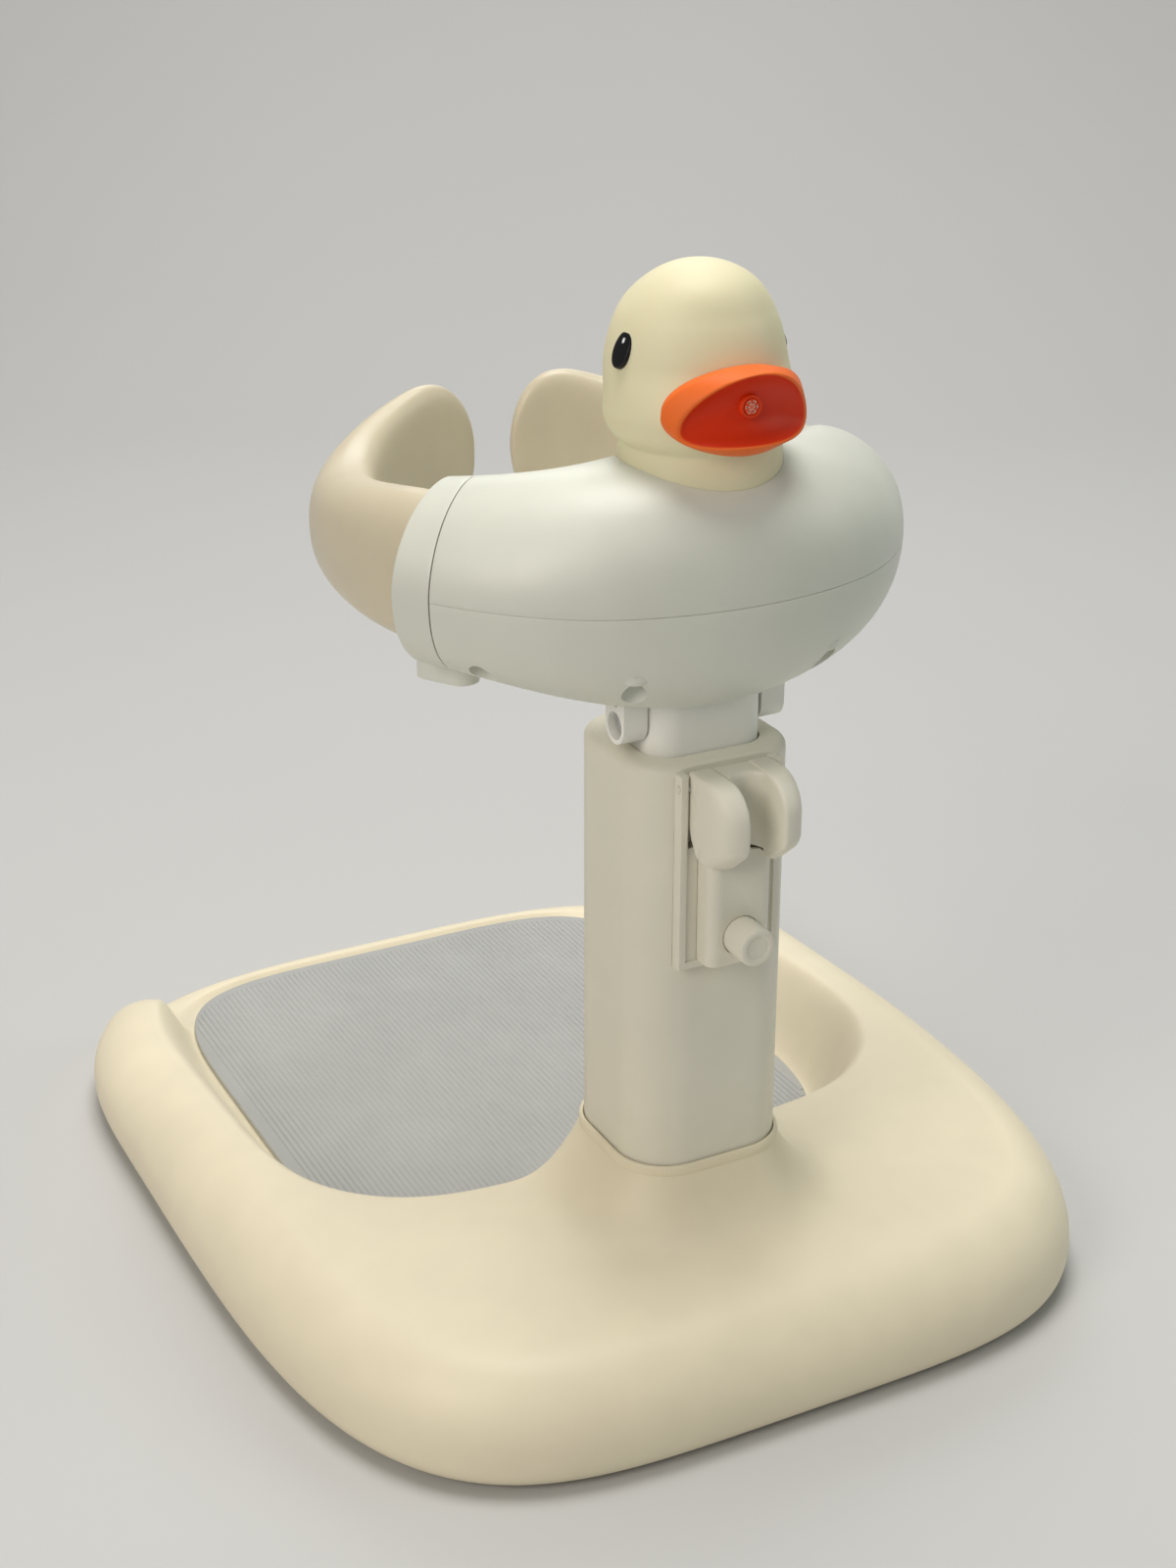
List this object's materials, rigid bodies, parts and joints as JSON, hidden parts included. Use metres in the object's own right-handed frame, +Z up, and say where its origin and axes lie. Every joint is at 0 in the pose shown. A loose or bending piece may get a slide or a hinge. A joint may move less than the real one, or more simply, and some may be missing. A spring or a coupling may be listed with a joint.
{
  "type": "infant standing aid",
  "caption": "Baby standing aid: low moulded base with a ribbed mat, square column with a sprung height latch, and a hollow duck body whose soft arms slide out round the chest.",
  "frame": {"origin": "on the floor, under the middle of the base", "axes": "+X to the right-hand arm, -Y to the front with the beak and the latch, +Y to the back where the child stands, +Z up"},
  "size_m": [0.404, 0.48, 0.4743],
  "materials": {
    "cream_plastic": "fine satin moulding",
    "grey_plastic": "matt",
    "mat_rubber": "matt, ribbed",
    "foot_rubber": "matt",
    "steel": "zinc plated",
    "cast_plate": "as cast",
    "white_plastic": "satin",
    "cream_soft": "soft satin",
    "lemon_vinyl": "soft matt",
    "orange_vinyl": "soft matt",
    "black_gloss": "polished"
  },
  "bodies": {
    "base": {"base_shell": "cream_plastic", "base_cover": "grey_plastic", "standing_mat": "mat_rubber", "rubber_feet": "foot_rubber", "base_screws": "steel", "column_foot": "cast_plate", "column_screws": "steel", "column_tube": "cream_plastic", "latch_frame": "cream_plastic", "latch_cover": "cream_plastic", "lever_pin": "steel", "clamp_spring": "steel", "button_spring": "steel"},
    "lever": {"release_lever": "cream_plastic"},
    "clamp": {"clamp_shoe": "grey_plastic"},
    "button": {"lock_button": "cream_plastic"},
    "mast": {"mast_tube": "white_plastic", "mast_shoe": "grey_plastic", "body_lower_shell": "white_plastic", "body_upper_shell": "white_plastic", "mast_bolts": "steel", "body_screws": "steel", "cuff_left": "white_plastic", "cuff_right": "white_plastic", "neck_ring": "grey_plastic", "duck_head": "lemon_vinyl", "beak": "orange_vinyl", "beak_vent": "orange_vinyl", "eyes": "black_gloss"},
    "arm_left": {"arm_bar_left": "grey_plastic", "arm_shell_left": "cream_soft"},
    "arm_right": {"arm_bar_right": "grey_plastic", "arm_shell_right": "cream_soft"},
    "release_left": {"arm_release_left": "white_plastic"},
    "release_right": {"arm_release_right": "white_plastic"}
  },
  "joints": [
    {"name": "mast_lift", "type": "slide", "parent": "base", "child": "mast", "axis": [0, 0, 1], "range_m": [0, 0.08]},
    {"name": "lever_pull", "type": "hinge", "parent": "base", "child": "lever", "pos_m": [0, -0.1557, 0.267], "axis": [-1, 0, 0], "range_deg": [0, 22], "stiffness_Nm_per_rad": 0.6, "springref_deg": -11.46},
    {"name": "clamp_slide", "type": "slide", "parent": "base", "child": "clamp", "axis": [0, -1, 0], "range_m": [0, 0.003], "deforming": ["clamp_spring"]},
    {"name": "button_press", "type": "slide", "parent": "base", "child": "button", "axis": [0, 1, 0], "range_m": [0, 0.006], "stiffness_N_per_m": 600, "springref_m": -0.003, "deforming": ["button_spring"]},
    {"name": "arm_left_slide", "type": "slide", "parent": "mast", "child": "arm_left", "axis": [-0.5, 0.866, 0], "range_m": [0, 0.035]},
    {"name": "arm_right_slide", "type": "slide", "parent": "mast", "child": "arm_right", "axis": [0.5, 0.866, 0], "range_m": [0, 0.035]},
    {"name": "release_left_press", "type": "slide", "parent": "mast", "child": "release_left", "axis": [0, 0, 1], "range_m": [0, 0.003], "stiffness_N_per_m": 600, "springref_m": -0.004},
    {"name": "release_right_press", "type": "slide", "parent": "mast", "child": "release_right", "axis": [0, 0, 1], "range_m": [0, 0.003], "stiffness_N_per_m": 600, "springref_m": -0.004}
  ],
  "couplings": [
    {"joint": "clamp_slide", "follows": "lever_pull", "m_per_rad": 0.0078}
  ]
}
